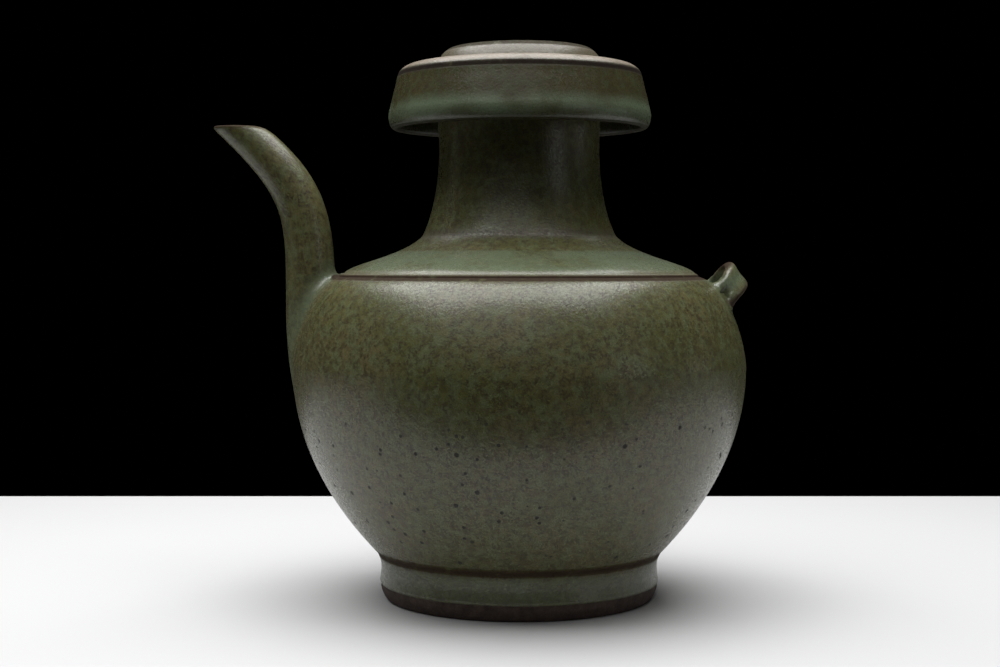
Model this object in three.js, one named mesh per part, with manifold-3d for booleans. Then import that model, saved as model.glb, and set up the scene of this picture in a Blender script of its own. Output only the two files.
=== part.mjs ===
// A glazed stoneware ewer: a round jug with a curved spout and a small strap lug, and a cap lid that lifts off.
// Sizes are in millimetres and +Z is up. The jug stands on z = 0 and its spout points along -X.
// The origin is the middle of the whole ewer's box, on the surface that it stands on.

import * as THREE from 'three';
import { mergeVertices } from 'three/addons/utils/BufferGeometryUtils.js';
import Module from 'manifold-3d';

const wasm = await Module();
wasm.setup();

// Jug: fired clay
const jugWall = 4.5;
const jugFloor = 6;
const partGap = 0.3;
const cavitySides = 36;
const turnedSides = 48;

// Jug: foot ring, with a bare clay band below a glazed wall that draws in a little
const footContactRadius = 48.3;
const footRingWidth = 6.5;
const footRecess = 6;
const clayBandRadius = 50.8;
const clayBandHeight = 6.1;
const footWaistRadius = 50.2;
const footTopRadius = 52;
const footHeight = 17;

// Jug: body, from the foot's edge to the belly and on to the raised line; a pull is how far a curve keeps its way
const bellyRadius = 82.1;
const bellyRise = 67.5;
const springAngle = 46.5;
const springPull = 31.5;
const bellyPullBelow = 21.2;
const bellyPullAbove = 5;
const floorCorner = 9;

// Jug: raised line on the shoulder
const lineRadius = 64.6;
const shoulderRise = 32.8;
const lineProud = 0.5;
const lineSlope = 15;
const linePull = 13;

// Jug: slope to the neck, the neck and the mouth
const slopeRise = 14.1;
const slopeAngle = 60;
const slopePull = 5.2;
const neckBaseRadius = 35.2;
const neckBaseAngle = 46;
const neckBasePull = 10.2;
const neckAngle = 62;
const neckPull = 8.6;
const neckRadius = 29.1;
const neckRise = 31.6;
const neckWaistPull = 11.6;
const mouthRise = 24.2;
const mouthFlare = 1.9;
const lipRound = 1.8;

// Jug: spout, whose axis stands upright beside the shoulder and then bends outward
const spoutInset = 6.1;
const spoutRootRadius = 9;
const spoutEndRadius = 5.7;
const spoutWall = 2.8;
const spoutRootInset = 6.4;
const spoutRootDrop = 43.3;
const spoutUprightDrop = 13.3;
const spoutLowBendRise = 24.4;
const spoutHighBendRise = 32.7;
const spoutOverhang = 35;
const spoutEndRise = 60.7;
const spoutCutRise = 54;
const spoutSides = 24;
const boreSides = 14;
const boreDrop = 20;
const boreEndRound = 2;

// Jug: strap lug, a grooved band of clay bent into a loop
const lugDrop = 5.1;
const lugSlope = 36;
const lugReach = 10.1;
const lugSpan = 34;
const lugThickness = 3.7;
const lugRootWidth = 11;
const lugCrownWidth = 11.2;
const lugGroove = 0.9;
const lugCrownRise = 1.3;
const lugLeg = 3.5;

// Jug: soft joint of the lug with the body
const jointFillet = 2.4;

// Lid: top, skirt and the flange that keeps it on the neck
const lidTop = 5.4;
const crownRadius = 43.9;
const crownHeight = 1.6;
const crestRadius = 39.6;
const skirtRadius = 47.6;
const skirtWidestDrop = 12.4;
const skirtRimRadius = 44.9;
const skirtDrop = 17.6;
const skirtWall = 4.4;
const skirtCorner = 4;
const flangePlay = 1;
const flangeWall = 3.6;
const flangeDrop = 9;
const flangeRound = 0.6;

// Lid: ring to lift it by
const ringBaseRadius = 30.4;
const ringTopRadius = 24.6;
const ringWidth = 3.8;
const ringRise = 6.3;
const crownDip = 0.4;

// Lid: how it sits on the mouth
const seatGap = 0.3;
const lidLean = 0.15;
const lidShift = 0.15;

// Heights and places that follow from the sizes above
const bellyHeight = footHeight + bellyRise;
const lineHeight = bellyHeight + shoulderRise;
const neckBaseHeight = lineHeight + slopeRise;
const neckWaistHeight = neckBaseHeight + neckRise;
const mouthHeight = neckWaistHeight + mouthRise;
const mouthRadius = neckRadius + mouthFlare;
const floorHeight = footRecess + jugFloor;
const spoutAxis = bellyRadius - spoutInset;
const flangeRadius = neckRadius - jugWall - flangePlay;
const radians = THREE.MathUtils.degToRad;

// A spot of a turned outline: its distance from the axis and its height
function spot(radius, height) {
  return new THREE.Vector2(radius, height);
}

// The spot at a distance from another, at an angle above the level that points away from the axis
function away(from, angle, distance) {
  return spot(from.x + distance * Math.cos(radians(angle)), from.y + distance * Math.sin(radians(angle)));
}

// The spots of a curve, without its first one, which the outline already has
function curve(steps, from, firstPull, secondPull, to) {
  return new THREE.CubicBezierCurve(from, firstPull, secondPull, to).getPoints(steps).slice(1);
}

// The body's skin above the foot, which the spout and the lug are joined to
function bodySkin() {
  const spring = spot(footTopRadius, footHeight);
  const belly = spot(bellyRadius, bellyHeight);
  const line = spot(lineRadius, lineHeight);
  const neckBase = spot(neckBaseRadius, neckBaseHeight);
  const waist = spot(neckRadius, neckWaistHeight);
  const lip = spot(mouthRadius, mouthHeight - lipRound);
  return [
    spring,
    ...curve(7, spring, away(spring, springAngle, springPull), away(belly, -90, bellyPullBelow), belly),
    ...curve(5, belly, away(belly, 90, bellyPullAbove), away(line, -lineSlope, linePull), line),
    ...curve(6, line, away(line, 180 - slopeAngle, slopePull), away(neckBase, -neckBaseAngle, neckBasePull), neckBase),
    ...curve(4, neckBase, away(neckBase, 180 - neckAngle, neckPull), away(waist, -90, neckWaistPull), waist),
    ...curve(2, waist, away(waist, 90, mouthRise / 3), away(lip, -90, mouthRise / 6), lip),
  ];
}

const skin = bodySkin();

// The skin moved into the clay by a distance
function inset(spots, distance) {
  return spots.map((here, index) => {
    const before = spots[Math.max(index - 1, 0)];
    const after = spots[Math.min(index + 1, spots.length - 1)];
    const way = after.clone().sub(before).normalize();
    return spot(here.x - way.y * distance, here.y + way.x * distance);
  });
}

// How far the skin is from the axis at a height
function skinRadius(height) {
  const above = Math.max(1, skin.findIndex((place) => place.y >= height));
  const low = skin[above - 1];
  const high = skin[above];
  const share = THREE.MathUtils.clamp((height - low.y) / (high.y - low.y), 0, 1);
  return THREE.MathUtils.lerp(low.x, high.x, share);
}

// How far a point lies outside the skin, and 0 inside it
function gapFromSkin(point) {
  const radius = Math.hypot(point.x, point.y);
  if (radius <= skinRadius(point.z)) return 0;
  const place = new THREE.Vector3(radius, point.z, 0);
  const closest = new THREE.Vector3();
  let gap = Infinity;
  for (let index = 1; index < skin.length; index += 1) {
    const from = new THREE.Vector3(skin[index - 1].x, skin[index - 1].y, 0);
    const to = new THREE.Vector3(skin[index].x, skin[index].y, 0);
    new THREE.Line3(from, to).closestPointToPoint(place, true, closest);
    gap = Math.min(gap, closest.distanceTo(place));
  }
  return gap;
}

// A point moved out from its middle where it comes near the skin, which makes the soft joint
function flared(middle, point) {
  const near = Math.max(0, 1 - gapFromSkin(point) / (2 * jointFillet));
  const way = point.clone().sub(middle).normalize();
  return point.clone().addScaledVector(way, jointFillet * near * near);
}

// A solid from a closed mesh with shared corners; its faces are turned to point out
function solidFrom(positions, corners) {
  const faces = [];
  let volume = 0;
  const a = new THREE.Vector3();
  const b = new THREE.Vector3();
  const c = new THREE.Vector3();
  for (let index = 0; index < corners.length; index += 3) {
    const [first, second, third] = [corners[index], corners[index + 1], corners[index + 2]];
    if (first === second || second === third || third === first) continue;
    faces.push([first, second, third]);
    a.fromArray(positions, 3 * first);
    b.fromArray(positions, 3 * second);
    c.fromArray(positions, 3 * third);
    volume += a.dot(b.cross(c));
  }
  const outward = volume > 0 ? faces : faces.map(([first, second, third]) => [first, third, second]);
  const mesh = new wasm.Mesh({
    numProp: 3,
    vertProperties: Float32Array.from(positions),
    triVerts: Uint32Array.from(outward.flat()),
  });
  return new wasm.Manifold(mesh);
}

function solidFromGeometry(geometry) {
  const bare = geometry.clone();
  bare.deleteAttribute('normal');
  bare.deleteAttribute('uv');
  const merged = mergeVertices(bare, 1e-4);
  return solidFrom(Array.from(merged.attributes.position.array), Array.from(merged.index.array));
}

// A turned solid from an outline that starts and ends on the axis
function turned(outline, sides) {
  const geometry = new THREE.LatheGeometry(outline, sides);
  geometry.rotateX(Math.PI / 2);
  return solidFromGeometry(geometry);
}

// A closed solid through rings of points, each with as many points as the others
function lofted(rings) {
  const count = rings[0].length;
  const points = rings.flat();
  const corners = [];
  for (let ring = 1; ring < rings.length; ring += 1) {
    for (let side = 0; side < count; side += 1) {
      const next = (side + 1) % count;
      const low = (ring - 1) * count;
      const high = ring * count;
      corners.push(low + side, low + next, high + next, low + side, high + next, high + side);
    }
  }
  for (const [start, turn] of [[0, -1], [(rings.length - 1) * count, 1]]) {
    const middle = new THREE.Vector3();
    for (let side = 0; side < count; side += 1) middle.addScaledVector(points[start + side], 1 / count);
    const hub = points.push(middle) - 1;
    for (let side = 0; side < count; side += 1) {
      const next = start + ((side + 1) % count);
      const pair = turn > 0 ? [start + side, next] : [next, start + side];
      corners.push(hub, ...pair);
    }
  }
  return solidFrom(points.flatMap((point) => point.toArray()), corners);
}

function geometryFrom(solid) {
  const mesh = solid.getMesh();
  const geometry = new THREE.BufferGeometry();
  geometry.setAttribute('position', new THREE.BufferAttribute(Float32Array.from(mesh.vertProperties), 3));
  geometry.setIndex(new THREE.BufferAttribute(Uint32Array.from(mesh.triVerts), 1));
  geometry.computeVertexNormals();
  return geometry;
}

// The skin with the raised line on it
function linedSkin() {
  const lineIndex = skin.findIndex((place) => place.y >= lineHeight);
  const ridge = away(skin[lineIndex], 90 - lineSlope, lineProud);
  return [...skin.slice(0, lineIndex), ridge, ...skin.slice(lineIndex + 1)];
}

// The jug's outside as a full turned form
function jugOutside() {
  const innerEdge = footContactRadius - footRingWidth;
  const contact = spot(footContactRadius, 0);
  const band = spot(clayBandRadius, clayBandHeight);
  const wallTop = spot((footWaistRadius + footTopRadius) / 2, footHeight - lineProud);
  const bandCorner = spot(clayBandRadius, clayBandHeight / 4);
  const lip = spot(mouthRadius, mouthHeight - lipRound);
  const lipTop = spot(mouthRadius - lipRound, mouthHeight);
  return [
    spot(0, footRecess),
    spot(innerEdge - footRecess / 2, footRecess),
    spot(innerEdge, 0),
    contact,
    ...curve(2, contact, bandCorner, bandCorner, band),
    ...curve(3, band, spot(footWaistRadius, footHeight / 2), spot(footWaistRadius, footHeight - 2), wallTop),
    ...linedSkin(),
    ...curve(2, lip, away(lip, 90, lipRound / 2), away(lipTop, 0, lipRound / 2), lipTop),
    spot(0, mouthHeight),
  ];
}

// The hollow inside the jug, which runs out through the mouth
function jugHollow() {
  const wallInside = inset(skin, jugWall);
  const first = wallInside[0];
  const floorEdge = spot(first.x - floorCorner, floorHeight);
  const lipInside = spot(mouthRadius - jugWall, mouthHeight - lipRound);
  const lipOutside = spot(mouthRadius - jugWall + lipRound, mouthHeight);
  return [
    spot(0, floorHeight),
    floorEdge,
    ...curve(3, floorEdge, away(floorEdge, 0, floorCorner / 2), away(first, 180 + springAngle, floorCorner / 2), first),
    ...wallInside.slice(1, -1),
    lipInside,
    ...curve(2, lipInside, away(lipInside, 90, lipRound / 2), away(lipOutside, 180, lipRound / 2), lipOutside),
    spot(lipOutside.x, mouthHeight + lipRound),
    spot(0, mouthHeight + lipRound),
  ];
}

// The spout's axis as spots of the plane through the jug's axis, from inside the body to past the tip
function spoutLine() {
  const root = spot(spoutAxis - spoutRootInset, lineHeight - spoutRootDrop);
  const upright = spot(spoutAxis, lineHeight - spoutUprightDrop);
  const lowBend = spot(spoutAxis, lineHeight + spoutLowBendRise);
  const highBend = spot(spoutAxis, lineHeight + spoutHighBendRise);
  const end = spot(spoutAxis + spoutOverhang, lineHeight + spoutEndRise);
  const lowPull = away(root, 70, spoutUprightDrop);
  const highPull = away(upright, -90, spoutUprightDrop);
  const low = [root, ...curve(4, root, lowPull, highPull, upright)];
  const high = [upright, ...curve(11, upright, lowBend, highBend, end)];
  return { low, high };
}

// Rings round a line of spots, with a radius for each; the line points to the spout's side
function ringsAlong(line, radii, sides) {
  const across = new THREE.Vector3(0, 1, 0);
  return line.map((place, index) => {
    const before = line[Math.max(index - 1, 0)];
    const after = line[Math.min(index + 1, line.length - 1)];
    const way = new THREE.Vector3(before.x - after.x, 0, after.y - before.y).normalize();
    const upward = new THREE.Vector3().crossVectors(way, across);
    const middle = new THREE.Vector3(-place.x, 0, place.y);
    return Array.from({ length: sides }, (_, side) => {
      const angle = (2 * Math.PI * side) / sides;
      const point = middle.clone();
      point.addScaledVector(across, radii[index] * Math.cos(angle));
      point.addScaledVector(upward, radii[index] * Math.sin(angle));
      return point;
    });
  });
}

// The spout's radius narrows slowly at first and faster towards its end
function spoutRadius(index, count) {
  const share = index / (count - 1);
  return THREE.MathUtils.lerp(spoutRootRadius, spoutEndRadius, share * share);
}

function spoutSolid() {
  const { low, high } = spoutLine();
  const line = [...low, ...high.slice(1)];
  const radii = [
    ...low.slice(0, -1).map(() => spoutRootRadius),
    ...high.map((_, index) => spoutRadius(index, high.length)),
  ];
  const tube = lofted(ringsAlong(line, radii, spoutSides));
  const reach = spoutAxis + spoutOverhang;
  const height = lineHeight + spoutCutRise;
  const within = new THREE.BoxGeometry(reach, reach, height);
  within.translate(-reach / 2, 0, height / 2);
  return tube.intersect(solidFromGeometry(within));
}

// The spout's bore, whose rounded lower end breaks into the hollow through the body's wall
function spoutBore() {
  const { high } = spoutLine();
  const bottom = spot(spoutAxis, lineHeight - boreDrop);
  const line = [bottom, away(bottom, 90, boreEndRound), ...high];
  const rootBore = spoutRootRadius - spoutWall;
  const radii = [
    rootBore - boreEndRound,
    rootBore,
    ...high.map((_, index) => spoutRadius(index, high.length) - spoutWall),
  ];
  return lofted(ringsAlong(line, radii, boreSides));
}

// One ring of the strap: a band with round edges and a groove along its outer face
function strapSection(middle, outward, width, rise) {
  const across = new THREE.Vector3(Math.sin(radians(lugSlope)), 0, -Math.cos(radians(lugSlope)));
  const sides = 14;
  return Array.from({ length: sides }, (_, side) => {
    const angle = (2 * Math.PI * side) / sides;
    const wide = Math.sign(Math.cos(angle)) * Math.abs(Math.cos(angle)) ** 0.7;
    const thick = Math.sign(Math.sin(angle)) * Math.abs(Math.sin(angle)) ** 0.7;
    const groove = thick > 0 ? lugGroove * Math.cos((Math.PI / 2) * wide) ** 2 : 0;
    const point = middle.clone();
    point.addScaledVector(across, (width / 2) * wide);
    const face = thick > 0 ? lugThickness / 2 + rise : lugThickness / 2;
    point.addScaledVector(outward, face * thick - groove);
    return flared(middle, point);
  });
}

function lugSolid() {
  const height = lineHeight - lugDrop;
  const base = new THREE.Vector3(skinRadius(height), 0, height);
  const out = new THREE.Vector3(Math.cos(radians(lugSlope)), 0, Math.sin(radians(lugSlope)));
  const halfSpan = (lugSpan - lugThickness) / 2;
  const reach = lugReach - lugThickness / 2;
  const steps = 13;
  const rings = [];
  for (let step = -1; step <= steps + 1; step += 1) {
    const angle = Math.PI * THREE.MathUtils.clamp(step / steps, 0, 1);
    const leg = step < 0 || step > steps ? lugLeg : 0;
    const middle = base.clone().addScaledVector(out, reach * Math.sin(angle) - leg);
    middle.y = -halfSpan * Math.cos(angle);
    const outward = out.clone().multiplyScalar(halfSpan * Math.sin(angle));
    outward.y = -reach * Math.cos(angle);
    const width = THREE.MathUtils.lerp(lugRootWidth, lugCrownWidth, Math.sin(angle));
    rings.push(strapSection(middle, outward.normalize(), width, lugCrownRise * Math.sin(angle)));
  }
  return lofted(rings);
}

// A block round the whole jug between two heights
function slab(low, high) {
  const width = 4 * bellyRadius;
  const geometry = new THREE.BoxGeometry(width, width, high - low);
  geometry.translate(0, 0, (low + high) / 2);
  return solidFromGeometry(geometry);
}

// The jug is one fired form. It is parted at the raised line and where the spout and the lug meet the body.
function jugParts() {
  const clearSkin = inset(linedSkin(), -partGap);
  const clearOutline = [spot(0, clearSkin[0].y), ...clearSkin, spot(0, clearSkin[clearSkin.length - 1].y)];
  const clearBody = turned(clearOutline, turnedSides);
  const bore = spoutBore();
  const walls = turned(jugOutside(), turnedSides).subtract(turned(jugHollow(), cavitySides)).subtract(bore);
  return {
    body: walls.intersect(slab(-footHeight, lineHeight)),
    neck: walls.intersect(slab(lineHeight + partGap, mouthHeight + footHeight)),
    spout: spoutSolid().subtract(bore).subtract(clearBody),
    lug: lugSolid().subtract(clearBody),
  };
}

// The lid's outline, with its height measured from the face that rests on the mouth
function lidOutline() {
  const flangeInside = flangeRadius - flangeWall;
  const skirtInside = spot(skirtRadius - skirtWall, -skirtWidestDrop);
  const ceiling = spot(crownRadius - skirtWall - skirtCorner, 0);
  const rim = spot(skirtRimRadius, -skirtDrop);
  const widest = spot(skirtRadius, -skirtWidestDrop);
  const crown = spot(crownRadius, crownHeight);
  const crest = spot(crestRadius, lidTop + crownDip / 2);
  const ringBase = spot(ringBaseRadius, lidTop - crownDip / 2);
  const ringTop = spot(ringTopRadius, lidTop + ringRise);
  const ringFoot = spot(ringTopRadius - ringWidth, lidTop);
  return [
    spot(0, 0),
    spot(flangeInside, 0),
    spot(flangeInside, flangeRound - flangeDrop),
    spot(flangeInside + flangeRound, -flangeDrop),
    spot(flangeRadius - flangeRound, -flangeDrop),
    spot(flangeRadius, flangeRound - flangeDrop),
    spot(flangeRadius, 0),
    ceiling,
    ...curve(2, ceiling, away(ceiling, 0, skirtCorner), away(skirtInside, 100, skirtCorner), skirtInside),
    ...curve(2, skirtInside, away(skirtInside, -90, skirtWall / 2), away(rim, 180, skirtWall / 3), rim),
    ...curve(3, rim, away(rim, 0, skirtWall / 3), away(widest, -90, skirtWall / 2), widest),
    ...curve(2, widest, away(widest, 96, skirtWall), away(crown, -74, skirtWall), crown),
    ...curve(2, crown, away(crown, 122, lidTop / 2), away(crest, 0, lidTop / 3), crest),
    ringBase,
    ...curve(4, ringBase, away(ringBase, 88, ringRise * 0.65), away(ringTop, 0, ringWidth), ringTop),
    ...curve(2, ringTop, away(ringTop, 180, ringWidth / 2), away(ringFoot, 75, ringWidth), ringFoot),
    spot(0, lidTop),
  ];
}

// Colours as fired: a thin olive green glaze, a little greener on the lid
const jugGlaze = new THREE.MeshStandardMaterial({ color: 0x6f7358, roughness: 0.22, metalness: 0 });
const lidGlaze = new THREE.MeshStandardMaterial({ color: 0x767a60, roughness: 0.22, metalness: 0 });

function piece(name, solid, material) {
  const mesh = new THREE.Mesh(geometryFrom(solid), material);
  mesh.name = name;
  return mesh;
}

const parts = jugParts();
const jugBody = piece('jug_body', parts.body, jugGlaze);
const jugNeck = piece('jug_shoulder_and_neck', parts.neck, jugGlaze);
const spout = piece('jug_spout', parts.spout, jugGlaze);
const lug = piece('jug_lug', parts.lug, jugGlaze);
const lid = piece('lid', turned(lidOutline(), turnedSides), lidGlaze);

// The lid rests on one side of the mouth and leans a little, so that its middle is lifted
const leanLift = mouthRadius * Math.sin(radians(lidLean));
lid.position.set(lidShift, 0, mouthHeight + seatGap + leanLift);
lid.rotation.y = -radians(lidLean);

const ewer = new THREE.Group();
ewer.add(jugBody, jugNeck, spout, lug, lid);
const box = new THREE.Box3().setFromObject(ewer, true);
ewer.position.set(-(box.min.x + box.max.x) / 2, -(box.min.y + box.max.y) / 2, -box.min.z);

export default ewer;
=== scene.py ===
import math

import bmesh
import bpy
import numpy as np
from mathutils import Matrix, Vector


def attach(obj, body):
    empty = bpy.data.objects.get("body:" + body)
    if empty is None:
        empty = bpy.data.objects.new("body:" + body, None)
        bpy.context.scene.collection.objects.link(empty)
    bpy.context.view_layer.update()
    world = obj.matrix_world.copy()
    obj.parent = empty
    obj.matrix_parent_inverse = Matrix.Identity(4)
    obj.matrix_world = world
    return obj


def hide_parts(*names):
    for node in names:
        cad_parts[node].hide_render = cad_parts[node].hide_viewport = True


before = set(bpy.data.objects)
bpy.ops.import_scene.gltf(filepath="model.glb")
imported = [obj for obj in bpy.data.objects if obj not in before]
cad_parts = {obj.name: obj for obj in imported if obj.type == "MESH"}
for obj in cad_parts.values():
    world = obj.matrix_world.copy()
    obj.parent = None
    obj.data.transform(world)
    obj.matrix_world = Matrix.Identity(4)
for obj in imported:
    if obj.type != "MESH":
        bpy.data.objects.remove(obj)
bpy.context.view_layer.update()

MM = 0.001

# driving dimensions, in millimetres
WALL = 4.5
SPOUT_CUT = 171.3
SPOUT_WALL = 2.8
SPOUT_ROOT_RADIUS = 8.95
SPOUT_TAPER = 3.35
SPOUT_JOINT = 5.0
RIM_ROUND = 1.0
RIM_ROUND_MORE_RIGHT = 2.6
RIM_ROUND_MORE_LEFT = 1.3
BORE_ROUND = 0.8
LUG_JOINT = 4.5
LUG_BASE = (72.0, 112.2)
LUG_SLOPE = math.radians(36)
LUG_REACH = 9.75
LUG_SPAN = 34.0
LUG_CROWN_RISE = 1.3
LUG_THICKNESS = 3.7
LUG_LEG = 3.5
LUG_ROOT_HALF = 4.3
LUG_CROWN_WIDER = 1.3
LUG_ROOTS_LOWER = 2.0
LUG_GROOVE = 0.95
LUG_SQUARENESS = 0.72
LUG_CORNER = 1.45
LID_SEAT = 187.58
LID_SHIFT = 0.15
LID_LEAN = math.radians(0.15)

# where the soft joints are looked for, in millimetres from the axis and above the table
JOINT_HEIGHTS = (60, 150)
JOINT_HALF_WIDTH = 30
SPOUT_SIDE = -55
LUG_SIDE = 58

# glaze and clay colours, linear
FRECKLE = (0.036, 0.026, 0.011)
POOLED = (0.108, 0.142, 0.088)
# pale cream: the lug's paler edges, and painted highlights above the shoulder line and on the lid's crest and
# ring
PALE_AND_HIGHLIGHT = (0.235, 0.190, 0.145)
SPECK = (0.006, 0.004, 0.002)
CLAY_DARK = (0.026, 0.016, 0.012)
CLAY_LIGHT = (0.066, 0.042, 0.031)

# the photograph's camera: its focal length in pixels and its place from the jug's axis
PHOTO_WIDTH = 1000
FOCAL_PIXELS = 1675
SENSOR_WIDTH = 36
CAMERA_LEFT = 6.95
CAMERA_DISTANCE = 0.611
CAMERA_HEIGHT = 0.1215
CAMERA_PITCH = 2.39


# The jug's axis stands at the middle of its foot ring
def foot_middle(node):
    points = [node.matrix_world @ v.co for v in node.data.vertices]
    low = min(p.z for p in points)
    xs = [p.x for p in points if p.z < low + 2e-5]
    return (min(xs) + max(xs)) / 2


AXIS_X = foot_middle(bpy.data.objects["jug_body"]) / MM


# curves
def bezier(p0, p1, p2, p3, steps):
    t = np.linspace(0, 1, steps + 1)[:, None]
    p0, p1, p2, p3 = (np.array(p, float) for p in (p0, p1, p2, p3))
    return (1 - t) ** 3 * p0 + 3 * (1 - t) ** 2 * t * p1 + 3 * (1 - t) * t ** 2 * p2 + t ** 3 * p3


def smooth_through(points, steps=8):
    """A Catmull-Rom curve through points, centripetal so that it never loops."""
    p = [np.array(q, float) for q in points]
    p = [2 * p[0] - p[1]] + p + [2 * p[-1] - p[-2]]
    out = []
    for a, b, c, d in zip(p, p[1:], p[2:], p[3:]):
        ta = 0.0
        tb = ta + max(np.linalg.norm(b - a), 1e-6) ** 0.5
        tc = tb + max(np.linalg.norm(c - b), 1e-6) ** 0.5
        td = tc + max(np.linalg.norm(d - c), 1e-6) ** 0.5
        for t in np.linspace(tb, tc, steps, endpoint=False):
            a1 = (tb - t) / (tb - ta) * a + (t - ta) / (tb - ta) * b
            a2 = (tc - t) / (tc - tb) * b + (t - tb) / (tc - tb) * c
            a3 = (td - t) / (td - tc) * c + (t - tc) / (td - tc) * d
            b1 = (tc - t) / (tc - ta) * a1 + (t - ta) / (tc - ta) * a2
            b2 = (td - t) / (td - tb) * a2 + (t - tb) / (td - tb) * a3
            out.append((tc - t) / (tc - tb) * b1 + (t - tb) / (tc - tb) * b2)
    out.append(np.array(points[-1], float))
    return np.array(out)


def joined(*parts):
    """Curves end to end, each shared point once."""
    points = list(parts[0])
    for part in parts[1:]:
        skip = 1 if np.linalg.norm(np.array(part[0]) - np.array(points[-1])) < 1e-6 else 0
        points += list(part)[skip:]
    return np.array(points, float)


def spaced(points, longest):
    """The same polyline with no piece longer than the given length."""
    out = [points[0]]
    for a, b in zip(points, points[1:]):
        count = max(1, int(math.ceil(np.linalg.norm(b - a) / longest)))
        out += [a + (b - a) * (i + 1) / count for i in range(count)]
    return np.array(out)


# outlines of the jug, as radius and height
FOOT = joined(
    [(0, 6), (30, 6), (37, 5.8)],
    smooth_through([(37, 5.8), (39.3, 4.7), (40.6, 2.4), (41.8, 0.5), (42.8, 0.0)], 4),
    [(42.8, 0.0), (45, 0.0), (47.4, 0.0)],
    smooth_through([(47.4, 0.0), (48.3, 0.25), (49.3, 1.3), (50.25, 3.5), (50.6, 5.7)], 5),
    smooth_through([(50.6, 5.7), (50.78, 6.1), (50.84, 6.7), (50.62, 8.3), (50.35, 11.2), (50.65, 14.0),
                    (51.35, 15.9), (51.75, 16.7)], 5),
)
BELLY = bezier((51.95, 17.15), (73.63, 39.87), (82.1, 63.3), (82.1, 84.5), 84)
UPPER = bezier((82.1, 84.5), (82.1, 89.5), (77.36, 113.5), (64.95, 116.75), 52)
LINE = smooth_through([(64.95, 116.75), (64.8, 117.2), (64.45, 117.6), (64.05, 117.75), (63.6, 118.0)], 4)
SHOULDER = bezier((63.6, 118.0), (60.9, 121.6), (42.3, 124.06), (35.2, 131.4), 48)
NECK = bezier((35.2, 131.4), (31.16, 139.0), (29.1, 151.4), (29.1, 163.0), 30)
FLARE = bezier((29.1, 163.0), (29.1, 171.0), (29.9, 179.0), (30.9, 184.9), 20)
LIP = smooth_through([(30.9, 184.9), (30.85, 186.1), (30.1, 187.0), (28.9, 187.15), (27.7, 186.6)], 4)
SKIN = joined(FOOT, BELLY, UPPER, LINE, SHOULDER, NECK, FLARE)


def inset(points, distance):
    way = np.gradient(points, axis=0)
    way /= np.linalg.norm(way, axis=1)[:, None]
    return points + np.stack([-way[:, 1], way[:, 0]], 1) * distance


HOLLOW = joined(
    [(0, 12.0), (20, 12.0), (34, 12.1)],
    smooth_through([(34, 12.1), (41, 13.0), (47.2, 17.0), (52.6, 22.6)], 4),
    inset(BELLY, WALL)[8::3],
    inset(UPPER, WALL)[3:-3:3],
    inset(SHOULDER, WALL)[2:-2:3],
    inset(NECK, WALL)[2::3],
    inset(FLARE, WALL)[1:-2:3],
)


# meshes from numbers
def mesh_object(name, points, faces):
    mesh = bpy.data.meshes.new(name)
    mesh.from_pydata([tuple(p) for p in points], [], faces)
    mesh.update()
    made = bmesh.new()
    made.from_mesh(mesh)
    bmesh.ops.recalc_face_normals(made, faces=made.faces)
    made.to_mesh(mesh)
    made.free()
    item = bpy.data.objects.new(name, mesh)
    bpy.context.collection.objects.link(item)
    return item


def turned(name, outline, angles):
    """A turned solid; the outline starts and ends on the axis. Angles are in radians."""
    inner = [p for p in outline if p[0] > 1e-6]
    count = len(angles)
    cos, sin = np.cos(angles), np.sin(angles)
    points = [np.array([0, 0, outline[0][1]])]
    for r, z in inner:
        points += list(np.stack([r * cos, r * sin, np.full(count, z)], 1))
    points.append(np.array([0, 0, outline[-1][1]]))
    faces = []
    last = len(points) - 1
    for j in range(count):
        k = (j + 1) % count
        faces.append((0, 1 + k, 1 + j))
        top = 1 + (len(inner) - 1) * count
        faces.append((last, top + j, top + k))
    for i in range(len(inner) - 1):
        low, high = 1 + i * count, 1 + (i + 1) * count
        for j in range(count):
            k = (j + 1) % count
            faces.append((low + j, low + k, high + k, high + j))
    return mesh_object(name, points, faces)


def lofted(name, rings):
    count = len(rings[0])
    points = np.concatenate(rings)
    faces = []
    for i in range(len(rings) - 1):
        low, high = i * count, (i + 1) * count
        for j in range(count):
            k = (j + 1) % count
            faces.append((low + j, low + k, high + k, high + j))
    start, end = rings[0].mean(0), rings[-1].mean(0)
    points = np.concatenate([points, [start, end]])
    first, last = len(points) - 2, len(points) - 1
    top = (len(rings) - 1) * count
    for j in range(count):
        k = (j + 1) % count
        faces.append((first, k, j))
        faces.append((last, top + j, top + k))
    return mesh_object(name, points, faces)


# the spout's axis and radius
SPOUT_LOW = bezier((69.6, 74.0), (74.15, 86.5), (76.0, 90.7), (76.0, 104.0), 30)
SPOUT_HIGH = bezier((76.0, 104.0), (76.0, 141.7), (76.0, 150.0), (111.0, 178.0), 110)


def arc_share(points):
    step = np.concatenate([[0], np.cumsum(np.linalg.norm(np.diff(points, axis=0), axis=1))])
    return step / step[-1]


SPOUT_AXIS = joined(SPOUT_LOW, SPOUT_HIGH)
SPOUT_RADIUS = np.concatenate([
    np.full(len(SPOUT_LOW) - 1, SPOUT_ROOT_RADIUS),
    SPOUT_ROOT_RADIUS - SPOUT_TAPER * arc_share(SPOUT_HIGH) ** 2,
])


def spout_frames():
    way = np.gradient(SPOUT_AXIS, axis=0)
    way /= np.linalg.norm(way, axis=1)[:, None]
    middle = np.stack([-SPOUT_AXIS[:, 0], np.zeros(len(SPOUT_AXIS)), SPOUT_AXIS[:, 1]], 1)
    side = np.stack([way[:, 1], np.zeros(len(way)), way[:, 0]], 1)
    return middle, side


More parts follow.
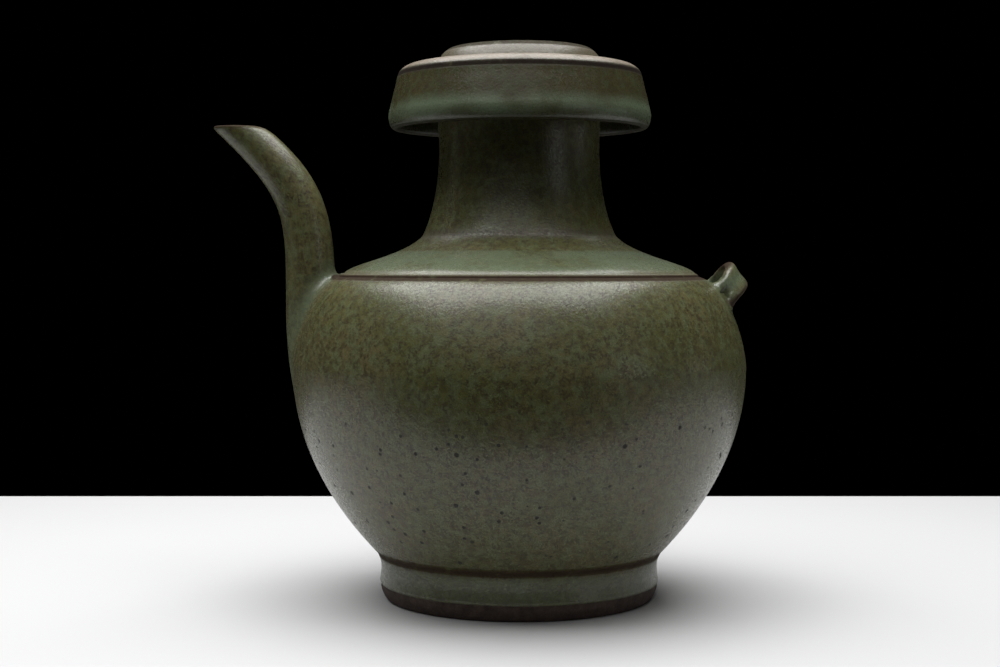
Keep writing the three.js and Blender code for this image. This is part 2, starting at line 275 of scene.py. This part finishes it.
def spout_surface(radii, sides, first, rounding, outward):
    """Rings of the spout's outside or bore, cut level at the tip with a rounded edge."""
    middle, side = spout_frames()
    across = np.array([0.0, 1.0, 0.0])
    angles = np.linspace(0, 2 * math.pi, sides, endpoint=False)
    lines = []
    for angle in angles:
        away = side * math.cos(angle) + across * math.sin(angle)
        lines.append(middle + away * radii[:, None])
    lines = np.array(lines)
    soft = np.full(sides, rounding)
    if outward:
        to_right = np.clip(np.cos(angles), 0, 1) ** 2
        to_left = np.clip(-np.cos(angles), 0, 1) ** 2
        soft = rounding * (1.0 + RIM_ROUND_MORE_RIGHT * to_right + RIM_ROUND_MORE_LEFT * to_left)

    def place_at(line, level):
        index = int(np.argmax(line[:, 2] >= level))
        return index - 1 + (level - line[index - 1, 2]) / (line[index, 2] - line[index - 1, 2])

    def points_at(at):
        low = np.floor(at).astype(int)
        part = (at - low)[:, None]
        rows = np.arange(sides)
        high = np.minimum(low + 1, lines.shape[1] - 1)
        return lines[rows, low] * (1 - part) + lines[rows, high] * part

    ends = np.array([place_at(line, SPOUT_CUT - drop) for line, drop in zip(lines, soft)])
    steps = 120
    rings = [points_at(first + (ends - first) * step / steps) for step in range(steps + 1)]
    corner = points_at(np.array([place_at(line, SPOUT_CUT) for line in lines]))
    way = corner.mean(0) - corner
    way /= np.linalg.norm(way, axis=1)[:, None]
    last = corner + way * (0.95 * soft if outward else -soft)[:, None]
    for t in np.linspace(0, 1, 7)[1:]:
        rings.append((1 - t) ** 2 * rings[steps] + 2 * (1 - t) * t * corner + t ** 2 * last)
    return rings


# the lug's loop
LUG_OUT = np.array([math.cos(LUG_SLOPE), 0.0, math.sin(LUG_SLOPE)])
LUG_WIDE = np.array([math.sin(LUG_SLOPE), 0.0, -math.cos(LUG_SLOPE)])


def lug_line(steps):
    """Middle, outward way, half width and crown rise along the strap, from one root to the other."""
    base = np.array([LUG_BASE[0], 0.0, LUG_BASE[1]])
    half = (LUG_SPAN - LUG_THICKNESS) / 2
    reach = LUG_REACH - LUG_THICKNESS / 2
    rows = []
    for turn in np.linspace(0, math.pi, steps):
        middle = base + LUG_OUT * reach * math.sin(turn)
        middle[1] = -half * math.cos(turn)
        out = LUG_OUT * half * math.sin(turn)
        out = out + np.array([0, -reach * math.cos(turn), 0])
        middle = middle + LUG_WIDE * LUG_ROOTS_LOWER * (1 - math.sin(turn))
        half_width = LUG_ROOT_HALF + LUG_CROWN_WIDER * math.sin(turn)
        rows.append((middle, out / np.linalg.norm(out), half_width, LUG_CROWN_RISE * math.sin(turn)))
    legs = np.linspace(LUG_LEG, 0, 5)[:-1]
    start = [(rows[0][0] - LUG_OUT * leg, *rows[0][1:]) for leg in legs]
    end = [(rows[-1][0] - LUG_OUT * leg, *rows[-1][1:]) for leg in legs[::-1]]
    return start + rows + end


def lug_section(middle, out, half, rise, sides):
    ring = []
    for angle in np.linspace(0, 2 * math.pi, sides, endpoint=False):
        wide = math.copysign(abs(math.cos(angle)) ** LUG_SQUARENESS, math.cos(angle))
        thick = math.copysign(abs(math.sin(angle)) ** LUG_SQUARENESS, math.sin(angle))
        if thick > 0:
            depth = (LUG_THICKNESS / 2 + rise) * thick - LUG_GROOVE * math.cos(math.pi / 2 * wide) ** 2
        else:
            depth = LUG_THICKNESS / 2 * thick
        ring.append(middle + LUG_WIDE * half * wide + out * depth)
    return np.array(ring)


# distances, for the soft joints
CHUNK = 2000


def segment_distance(points, line):
    """Distance to a polyline, the nearest piece and the share along it, in chunks that save memory."""
    a, b = line[:-1], line[1:]
    ab = b - a
    length = (ab ** 2).sum(1)
    best = np.empty(len(points))
    piece = np.empty(len(points), int)
    share = np.empty(len(points))
    for start in range(0, len(points), CHUNK):
        chunk = slice(start, start + CHUNK)
        p = points[chunk, None, :]
        t = np.clip(((p - a) * ab).sum(2) / length, 0, 1)
        d = np.linalg.norm(p - (a + ab * t[:, :, None]), axis=2)
        index = d.argmin(1)
        rows = np.arange(len(index))
        best[chunk] = d[rows, index]
        piece[chunk] = index
        share[chunk] = t[rows, index]
    return best, piece, share


SKIN_NEAR = SKIN[(SKIN[:, 1] > 40) & (SKIN[:, 1] < 160)]


def from_body(points):
    flat = np.stack([np.hypot(points[:, 0], points[:, 1]), points[:, 2]], 1)
    best, piece, _ = segment_distance(flat, SKIN_NEAR)
    a, b = SKIN_NEAR[piece], SKIN_NEAR[piece + 1]
    way = b - a
    rel = flat - a
    side = way[:, 1] * rel[:, 0] - way[:, 0] * rel[:, 1]
    return np.where(side >= 0, best, -best)


def from_spout(points):
    flat = np.stack([-points[:, 0], points[:, 2]], 1)
    _, piece, share = segment_distance(flat, SPOUT_AXIS)
    middle = SPOUT_AXIS[piece] * (1 - share)[:, None] + SPOUT_AXIS[piece + 1] * share[:, None]
    radius = SPOUT_RADIUS[piece] * (1 - share) + SPOUT_RADIUS[piece + 1] * share
    gap = flat - middle
    return np.sqrt((gap ** 2).sum(1) + points[:, 1] ** 2) - radius


LUG_ROWS = lug_line(90)
LUG_MIDDLES, LUG_OUTS, LUG_HALVES, LUG_RISES = (np.array(column) for column in zip(*LUG_ROWS))


def from_lug(points):
    _, piece, share = segment_distance(points, LUG_MIDDLES)
    middle = LUG_MIDDLES[piece] * (1 - share)[:, None] + LUG_MIDDLES[piece + 1] * share[:, None]
    out = LUG_OUTS[piece] * (1 - share)[:, None] + LUG_OUTS[piece + 1] * share[:, None]
    half = LUG_HALVES[piece] * (1 - share) + LUG_HALVES[piece + 1] * share
    rise = LUG_RISES[piece] * (1 - share) + LUG_RISES[piece + 1] * share
    rel = points - middle
    wide = np.abs(rel @ LUG_WIDE)
    thick = (rel * out).sum(1)
    thick = np.where(thick > 0, thick * LUG_THICKNESS / (LUG_THICKNESS + 2 * rise), -thick)
    dx = np.maximum(wide - (half - LUG_CORNER), 0)
    dy = np.maximum(thick - (LUG_THICKNESS / 2 - LUG_CORNER), 0)
    inside = np.minimum(np.maximum(wide - half, thick - LUG_THICKNESS / 2), 0)
    return np.where((dx > 0) | (dy > 0), np.hypot(dx, dy) - LUG_CORNER, inside)


def soft_union(a, b, k):
    h = np.maximum(k - np.abs(a - b), 0) / k
    return np.minimum(a, b) - h * h * k / 4


def soft_skin(points):
    body = from_body(points)
    joined_skin = body.copy()
    left = points[:, 0] < -50
    if left.any():
        joined_skin[left] = soft_union(body[left], from_spout(points[left]), SPOUT_JOINT)
    right = points[:, 0] > 55
    if right.any():
        joined_skin[right] = soft_union(body[right], from_lug(points[right]), LUG_JOINT)
    return joined_skin


def slope_of(points, step=0.05):
    columns = []
    for axis in range(3):
        move = np.zeros(3)
        move[axis] = step
        columns.append((soft_skin(points + move) - soft_skin(points - move)) / (2 * step))
    return np.stack(columns, 1)


# the jug
def jug_angles():
    """Columns of the body, closer together at the spout and the lug."""
    near_lug = np.radians(np.arange(-13, 13.01, 0.8))
    near_spout = np.radians(180 + np.arange(-13, 13.01, 0.8))
    back = np.radians(np.linspace(13, 167, 82))[1:-1]
    front = np.radians(np.linspace(193, 347, 82))[1:-1]
    return np.concatenate([near_lug, back, near_spout, front])


def boolean(target, tool, operation):
    modifier = target.modifiers.new("cut", "BOOLEAN")
    modifier.operation = operation
    modifier.object = tool
    modifier.solver = "EXACT"
    bpy.context.view_layer.objects.active = target
    bpy.context.view_layer.update()
    made = bpy.data.meshes.new_from_object(target.evaluated_get(bpy.context.evaluated_depsgraph_get()))
    target.modifiers.clear()
    old = target.data
    target.data = made
    bpy.data.meshes.remove(old)
    bpy.data.objects.remove(tool)


def coordinates(mesh):
    co = np.empty(len(mesh.vertices) * 3)
    mesh.vertices.foreach_get("co", co)
    return co.reshape(-1, 3)


def band(value, low, high, soft):
    """1 between low and high, falling to 0 over the soft width on both sides."""
    rise = np.clip((value - low) / soft + 0.5, 0, 1)
    fall = np.clip((high - value) / soft + 0.5, 0, 1)
    both = rise * fall
    return both * both * (3 - 2 * both)


def store(mesh, name, values):
    layer = mesh.attributes.new(name, "FLOAT", "POINT")
    layer.data.foreach_set("value", np.asarray(values, np.float32))


def smooth_faces(mesh):
    for polygon in mesh.polygons:
        polygon.use_smooth = True


def jug_solid():
    """The turned jug with its spout and lug, hollowed and bored."""
    outside = joined(SKIN, LIP, [(26.0, 186.6), (0, 186.6)])
    made = turned("jug_ware", spaced(outside, 1.15), jug_angles())
    spout = lofted("spout_form", spout_surface(SPOUT_RADIUS, 56, 2, RIM_ROUND, True))
    bore = spout_surface(SPOUT_RADIUS - SPOUT_WALL, 32, 24, BORE_ROUND, False)
    lift = bore[-1].copy()
    lift[:, 2] += 2
    bore_form = lofted("bore_form", bore + [lift])
    lug = lofted("lug_form", [lug_section(*row, 40) for row in lug_line(60)])
    hollow_line = joined(HOLLOW, [(26.4, 184.0), (26.5, 185.8), (27.4, 187.0), (28.0, 188.2), (0, 188.2)])
    hollow = turned("hollow_form", hollow_line, np.linspace(0, 2 * math.pi, 96, endpoint=False))
    boolean(made, spout, "UNION")
    boolean(made, lug, "UNION")
    boolean(made, hollow, "DIFFERENCE")
    boolean(made, bore_form, "DIFFERENCE")
    return made


def near_joints(co):
    high_enough = (co[:, 2] > JOINT_HEIGHTS[0]) & (co[:, 2] < JOINT_HEIGHTS[1])
    at_a_side = (co[:, 0] < SPOUT_SIDE) | (co[:, 0] > LUG_SIDE)
    return np.where(high_enough & (np.abs(co[:, 1]) < JOINT_HALF_WIDTH) & at_a_side)[0]


def from_side_form(points):
    """Distance to the spout on the left and to the lug on the right."""
    return np.where(points[:, 0] < 0, from_spout(points), from_lug(points))


def soften_joints(mesh):
    """Moves the points at the roots of spout and lug onto one soft skin, and shades them as that skin."""
    co = coordinates(mesh)
    index = near_joints(co)
    body_gap = from_body(co[index])
    other_gap = from_side_form(co[index])
    reach = np.where(co[index, 0] < 0, SPOUT_JOINT, LUG_JOINT)
    outer = np.minimum(body_gap, other_gap) > -0.6
    moving = index[outer & (np.abs(body_gap - other_gap) < reach)]
    placed = co[moving]
    for _ in range(4):
        value = soft_skin(placed)
        slope = slope_of(placed)
        placed = placed - slope * (value / np.maximum((slope ** 2).sum(1), 0.2))[:, None]
    co[moving] = placed
    mesh.vertices.foreach_set("co", co.ravel())
    mesh.update()

    shade = np.empty(len(co) * 3)
    mesh.vertices.foreach_get("normal", shade)
    shade = shade.reshape(-1, 3).copy()
    wider = index[outer & (np.abs(body_gap - other_gap) < 1.5 * reach)]
    slope = slope_of(co[wider], 0.25)
    shade[wider] = slope / np.linalg.norm(slope, axis=1)[:, None]
    smooth_faces(mesh)
    mesh.normals_split_custom_set_from_vertices([tuple(n) for n in shade])
    return co, index


def mark_jug(mesh, co, index):
    """Where the glaze is thin, pooled or missing, where the lug's edges are pale, and the painted highlight
    above the shoulder line.
    """
    radius = np.hypot(co[:, 0], co[:, 1])
    height = co[:, 2]
    body_gap = np.full(len(co), 50.0)
    side_gap = np.full(len(co), 50.0)
    body_gap[index] = from_body(co[index])
    side_gap[index] = from_side_form(co[index])
    crease = np.clip(1 - (np.abs(body_gap) + np.abs(side_gap)) / 7.0, 0, 1)
    on_lug = (co[:, 0] > LUG_SIDE) & (np.abs(side_gap) < 1.2) & (body_gap > 1.0)
    lug_wide = np.abs((co - np.array([LUG_BASE[0], 0, LUG_BASE[1]])) @ LUG_WIDE)
    lug_edge = on_lug * np.clip((lug_wide - 3.6) / 1.6, 0, 1)
    lug_groove = on_lug * np.clip(1 - lug_wide / 3.8, 0, 1)
    tip = (co[:, 0] < SPOUT_SIDE) & (height > 165)
    rim = tip * np.clip((height - (SPOUT_CUT - 1.6)) / 1.4, 0, 1)
    line_thin = band(height, 115.6, 117.6, 0.9) * (radius > 60) * (radius < 68)
    foot_thin = band(height, 15.6, 18.6, 2.2) * (radius > 49) * (radius < 56)
    lip_thin = (height > 185.5) * (radius < 33) * (radius > 24)
    neck_thin = 0.4 * band(height, 130.4, 133.4, 1.6) * (radius > 30) * (radius < 40)
    store(mesh, "thin", np.clip(line_thin + foot_thin + lip_thin + rim + lug_edge + neck_thin, 0, 1))
    shoulder_pool = band(height, 118.2, 126.5, 3.0) * (radius > 44) * (radius < 64.5)
    foot_pool = band(height, 6.5, 14.8, 2.4) * (radius > 49) * (radius < 53)
    store(mesh, "pool", np.clip(0.75 * shoulder_pool + 0.45 * foot_pool + 1.1 * crease + lug_groove, 0, 1))
    store(mesh, "bare", ((height < 6.0) & (radius > 38) & (radius < 52)).astype(float))
    # painted highlight: a pale band just above the string line, where the ridge's upper side faces the
    # overhead light
    line_highlight = 0.175 * band(height, 117.4, 119.0, 0.9) * (radius > 58) * (radius < 66)
    lug_pale = 0.12 * on_lug * band(lug_wide, 3.6, 5.0, 0.8)
    store(mesh, "pale_and_highlight", np.clip(line_highlight + lug_pale, 0, 1))


jug = jug_solid()
mark_jug(jug.data, *soften_joints(jug.data))


# the lid, with its heights measured from the mouth
LID_UNDER = [(0, 0), (20.9, 0), (20.9, -8.4), (21.2, -8.9), (21.9, -9.1), (22.8, -9.1), (23.4, -8.8),
             (23.6, -8.2), (23.6, -0.6), (24.1, 0)]
LID_INSIDE = smooth_through([(24.1, 0), (30, 0.0), (36.5, -0.1), (39.4, -1.5), (41.4, -4.4), (42.6, -8.4),
                             (43.15, -12.4), (43.1, -15.4), (43.5, -16.9), (44.6, -17.55)], 6)
LID_SKIRT = smooth_through([(44.6, -17.55), (45.9, -17.35), (46.9, -16.2), (47.45, -14.3), (47.5, -12.4),
                            (46.95, -9.8), (46.3, -7.0), (45.55, -3.9), (44.85, -1.2), (44.4, 0.8),
                            (43.95, 2.4)], 6)
LID_CREST = smooth_through([(43.95, 2.4), (43.4, 3.2), (41.9, 4.5), (39.8, 5.3), (37.0, 5.6), (34, 5.5),
                            (31.6, 5.3), (30.6, 5.45), (30.1, 6.1), (29.5, 7.2), (28.6, 8.6), (27.5, 9.9),
                            (26.4, 10.8), (25.3, 11.4), (24.3, 11.6), (23.3, 11.3), (22.5, 10.4), (21.8, 8.9),
                            (21.1, 7.2), (20.3, 6.1), (18.8, 5.7), (15, 5.6), (7, 5.6), (0, 5.65)], 5)


def mark_lid(mesh):
    """Where the glaze is thin or pooled, and the painted highlights on the crest and the ring's side."""
    co = coordinates(mesh)
    radius = np.hypot(co[:, 0], co[:, 1])
    height = co[:, 2]
    arris = band(height, 1.0, 2.9, 1.0) * (radius > 41)
    ring_edge = band(height, 10.0, 11.9, 1.0) * (radius > 23) * (radius < 31)
    rim_edge = band(height, -18.5, -16.7, 1.0) * (radius > 42)
    store(mesh, "thin", np.clip(arris + 0.7 * ring_edge + 0.6 * rim_edge, 0, 1))
    low_skirt = band(height, -16.0, -9.0, 5.0) * (radius > 44.5)
    ring_pool = band(height, 4.3, 5.6, 1.2) * (radius > 18) * (radius < 33)
    store(mesh, "pool", np.clip(low_skirt + 0.6 * ring_pool, 0, 1))
    store(mesh, "bare", np.zeros(len(co)))
    # painted highlights: the flat crest and the ring's sloping side are painted pale cream where they face
    # the overhead light
    crest_highlight = band(height, 3.3, 5.9, 0.9) * (radius > 30.5) * (radius < 43.6)
    ring_highlight = band(height, 5.8, 10.6, 0.9) * (radius > 25.5) * (radius < 31)
    store(mesh, "pale_and_highlight", np.clip(0.75 * crest_highlight + 0.22 * ring_highlight, 0, 1))


lid_line = joined(LID_UNDER, LID_INSIDE, LID_SKIRT, LID_CREST)
lid = turned("lid_ware", spaced(lid_line, 1.3), np.linspace(0, 2 * math.pi, 240, endpoint=False))
smooth_faces(lid.data)
mark_lid(lid.data)


# materials
class Nodes:
    """A short way to write node trees."""

    def __init__(self, name):
        self.material = bpy.data.materials.new(name)
        self.material.use_nodes = True
        self.tree = self.material.node_tree
        self.tree.nodes.clear()

    def add(self, kind, **settings):
        node = self.tree.nodes.new(kind)
        for key, value in settings.items():
            setattr(node, key, value)
        return node

    def link(self, source, target):
        self.tree.links.new(source, target)

    def noise(self, place, scale, detail=3.0, rough=0.55):
        node = self.add("ShaderNodeTexNoise")
        node.inputs["Scale"].default_value = scale
        node.inputs["Detail"].default_value = detail
        node.inputs["Roughness"].default_value = rough
        self.link(place, node.inputs["Vector"])
        return node.outputs["Fac"]

    def ramp(self, value, stops):
        node = self.add("ShaderNodeValToRGB")
        ramp = node.color_ramp
        while len(ramp.elements) < len(stops):
            ramp.elements.new(0.5)
        for element, (place, colour) in zip(ramp.elements, stops):
            element.position = place
            element.color = (*colour, 1)
        self.link(value, node.inputs["Fac"])
        return node.outputs["Color"]

    def mask(self, value, low, high):
        node = self.add("ShaderNodeMapRange", interpolation_type="SMOOTHSTEP")
        node.inputs["From Min"].default_value = low
        node.inputs["From Max"].default_value = high
        self.link(value, node.inputs["Value"])
        return node.outputs["Result"]

    def math(self, operation, first, second):
        node = self.add("ShaderNodeMath", operation=operation)
        for socket, value in zip(node.inputs, (first, second)):
            if isinstance(value, (int, float)):
                socket.default_value = value
            else:
                self.link(value, socket)
        return node.outputs["Value"]

    def mix(self, share, first, second):
        node = self.add("ShaderNodeMix", data_type="RGBA")
        sockets = [s for s in node.inputs if s.enabled]
        for socket, value in zip(sockets, (share, first, second)):
            if isinstance(value, tuple):
                socket.default_value = (*value, 1)
            elif isinstance(value, (int, float)):
                socket.default_value = value
            else:
                self.link(value, socket)
        return [s for s in node.outputs if s.enabled][0]

    def attribute(self, name):
        return self.add("ShaderNodeAttribute", attribute_name=name).outputs["Fac"]


def celadon(name, deep, warm, green, thin_colour, shine=0.5):
    n = Nodes(name)
    place = n.add("ShaderNodeTexCoord").outputs["Object"]
    split_place = n.add("ShaderNodeSeparateXYZ")
    n.link(place, split_place.inputs["Vector"])
    level = split_place.outputs["Z"]

    broad = n.noise(place, 30, 4, 0.55)
    mottle = n.noise(place, 260, 5, 0.62)
    fine = n.noise(place, 1250, 3, 0.7)
    colour = n.mix(n.mask(broad, 0.38, 0.66), deep, warm)
    colour = n.mix(n.math("MULTIPLY", n.mask(mottle, 0.42, 0.60), 0.75), colour, green)
    grain = n.mask(fine, 0.40, 0.57)
    freckle = n.math("MULTIPLY", grain, n.mask(n.noise(place, 420, 4, 0.6), 0.38, 0.60))
    colour = n.mix(n.math("MULTIPLY", freckle, 0.92), colour, FRECKLE)
    pool = n.math("MULTIPLY", n.attribute("pool"), n.mask(n.noise(place, 60, 3), 0.2, 0.62))
    colour = n.mix(n.math("MULTIPLY", pool, 0.85), colour, POOLED)
    # pale cream mixed in: painted highlights on the shoulder line and the lid's top, and the lug's paler
    # edges
    pale_and_highlight = n.math("MULTIPLY", n.attribute("pale_and_highlight"), n.mask(n.noise(place, 150, 3), 0.15, 0.5))
    colour = n.mix(pale_and_highlight, colour, PALE_AND_HIGHLIGHT)
    thin = n.math("MULTIPLY", n.attribute("thin"), n.mask(n.noise(place, 240, 3), 0.2, 0.45))
    colour = n.mix(n.math("MULTIPLY", thin, 0.95), colour, thin_colour)

    specks = 0.0
    low_part = n.mask(n.math("MULTIPLY", level, -1.0), -0.088, -0.060)
    low_part = n.math("MULTIPLY", low_part, n.mask(level, 0.016, 0.022))
    for scale, share, small, large in ((165, 0.66, -0.17, -0.11), (250, 0.60, -0.20, -0.13)):
        cells = n.add("ShaderNodeTexVoronoi", feature="F1")
        cells.inputs["Scale"].default_value = scale
        n.link(place, cells.inputs["Vector"])
        split = n.add("ShaderNodeSeparateColor")
        n.link(cells.outputs["Color"], split.inputs["Color"])
        few = n.mask(split.outputs["Red"], share, share + 0.02)
        dot = n.mask(n.math("MULTIPLY", cells.outputs["Distance"], -1.0), small, large)
        speck = n.math("MULTIPLY", n.math("MULTIPLY", few, dot), n.math("ADD", 0.06, low_part))
        colour = n.mix(n.math("MULTIPLY", speck, 0.95), colour, SPECK)
        specks = n.math("ADD", speck, specks)

    clay = n.ramp(n.noise(place, 300, 4), [(0.3, CLAY_DARK), (0.7, CLAY_LIGHT)])
    bare = n.attribute("bare")
    colour = n.mix(bare, colour, clay)

    rough = n.math("ADD", 0.24, n.math("MULTIPLY", grain, 0.16))
    rough = n.math("ADD", rough, n.math("MULTIPLY", thin, 0.45))
    rough = n.math("ADD", rough, n.math("MULTIPLY", n.attribute("pale_and_highlight"), 0.15))
    rough = n.math("ADD", rough, n.math("MULTIPLY", bare, 0.5))
    rough = n.math("ADD", rough, n.math("MULTIPLY", specks, 0.3))

    bump_wide = n.add("ShaderNodeBump")
    bump_wide.inputs["Strength"].default_value = 0.4
    bump_wide.inputs["Distance"].default_value = 0.0006
    n.link(n.noise(place, 45, 2), bump_wide.inputs["Height"])
    bump = n.add("ShaderNodeBump")
    bump.inputs["Strength"].default_value = 1.0
    bump.inputs["Distance"].default_value = 0.00008
    n.link(n.noise(place, 1200, 2, 0.6), bump.inputs["Height"])
    n.link(bump_wide.outputs["Normal"], bump.inputs["Normal"])

    shader = n.add("ShaderNodeBsdfPrincipled")
    shader.inputs["IOR"].default_value = 1.5
    shader.inputs["Specular IOR Level"].default_value = shine
    n.link(colour, shader.inputs["Base Color"])
    n.link(rough, shader.inputs["Roughness"])
    n.link(bump.outputs["Normal"], shader.inputs["Normal"])
    out = n.add("ShaderNodeOutputMaterial")
    n.link(shader.outputs["BSDF"], out.inputs["Surface"])
    return n.material


# A thin edge, where the glaze ran off the clay, is duller than the glaze round it
def finish(item, name, **colours):
    item.data.materials.clear()
    item.data.materials.append(celadon(name, **colours))
    item.data.materials.append(celadon(name + "_edge", **colours, shine=0.08))
    values = np.empty(len(item.data.vertices), np.float32)
    item.data.attributes["thin"].data.foreach_get("value", values)
    for polygon in item.data.polygons:
        polygon.material_index = 1 if values[list(polygon.vertices)].mean() > 0.45 else 0


finish(jug, "glaze_jug", deep=(0.084, 0.086, 0.030), warm=(0.108, 0.096, 0.042),
       green=(0.100, 0.116, 0.055), thin_colour=(0.034, 0.021, 0.014))
finish(lid, "glaze_lid", deep=(0.044, 0.043, 0.015), warm=(0.060, 0.051, 0.022),
       green=(0.052, 0.061, 0.028), thin_colour=(0.013, 0.008, 0.006))

jug.matrix_world = Matrix.Translation((AXIS_X * MM, 0, 0)) @ Matrix.Scale(MM, 4)
lid.matrix_world = (Matrix.Translation(((AXIS_X + LID_SHIFT) * MM, 0, LID_SEAT * MM))
                    @ Matrix.Rotation(-LID_LEAN, 4, "Y") @ Matrix.Scale(MM, 4))
for item in (jug, lid):
    item.data.transform(item.matrix_world)
    item.matrix_world = Matrix.Identity(4)
    item.data.update()
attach(jug, "root")
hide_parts("jug_body", "jug_shoulder_and_neck", "jug_spout", "jug_lug")
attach(lid, "root")
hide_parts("lid")


# table, light and camera
def flat(name, x0, x1, y0, y1, z):
    mesh = bpy.data.meshes.new(name)
    mesh.from_pydata([(x0, y0, z), (x1, y0, z), (x1, y1, z), (x0, y1, z)], [], [(0, 1, 2, 3)])
    item = bpy.data.objects.new(name, mesh)
    bpy.context.collection.objects.link(item)
    return item


table = flat("table", -0.6, 0.6, -0.155, 0.260, 0)
white = bpy.data.materials.new("table_white")
white.use_nodes = True
base = white.node_tree.nodes["Principled BSDF"]
base.inputs["Base Color"].default_value = (0.62, 0.62, 0.625, 1)
base.inputs["Roughness"].default_value = 0.55
table.data.materials.append(white)


def softbox(name, size_x, size_y, place, aim, power):
    light = bpy.data.lights.new(name, "AREA")
    light.shape = "RECTANGLE"
    light.size = size_x
    light.size_y = size_y
    light.energy = power
    item = bpy.data.objects.new(name, light)
    item.location = place
    item.rotation_euler = (Vector(aim) - Vector(place)).to_track_quat("-Z", "Y").to_euler()
    bpy.context.collection.objects.link(item)


softbox("key", 1.1, 0.94, (-0.06, 0.04, 0.85), (-0.06, 0.04, 0), 17.8)
softbox("front", 2.0, 0.8, (-0.4, -1.45, 1.45), (0, -0.1, 0.05), 3.8)
softbox("side", 0.5, 0.7, (1.3, -0.9, 0.35), (0, 0, 0.12), 0.8)
softbox("window", 0.25, 0.12, (1.2, 0.1, 0.17), (0, 0, 0.13), 0.12)

world = bpy.context.scene.world or bpy.data.worlds.new("studio")
bpy.context.scene.world = world
world.use_nodes = True
background = world.node_tree.nodes.get("Background")
background.inputs["Color"].default_value = (0, 0, 0, 1)
background.inputs["Strength"].default_value = 0.0

camera_data = bpy.data.cameras.new("camera")
camera_data.sensor_width = SENSOR_WIDTH
camera_data.lens = FOCAL_PIXELS / PHOTO_WIDTH * SENSOR_WIDTH
camera = bpy.data.objects.new("camera", camera_data)
camera.location = ((AXIS_X - CAMERA_LEFT) * MM, -CAMERA_DISTANCE, CAMERA_HEIGHT)
camera.rotation_euler = (math.radians(90 - CAMERA_PITCH), 0, 0)
bpy.context.collection.objects.link(camera)
bpy.context.scene.camera = camera
bpy.context.scene.view_settings.view_transform = "Standard"
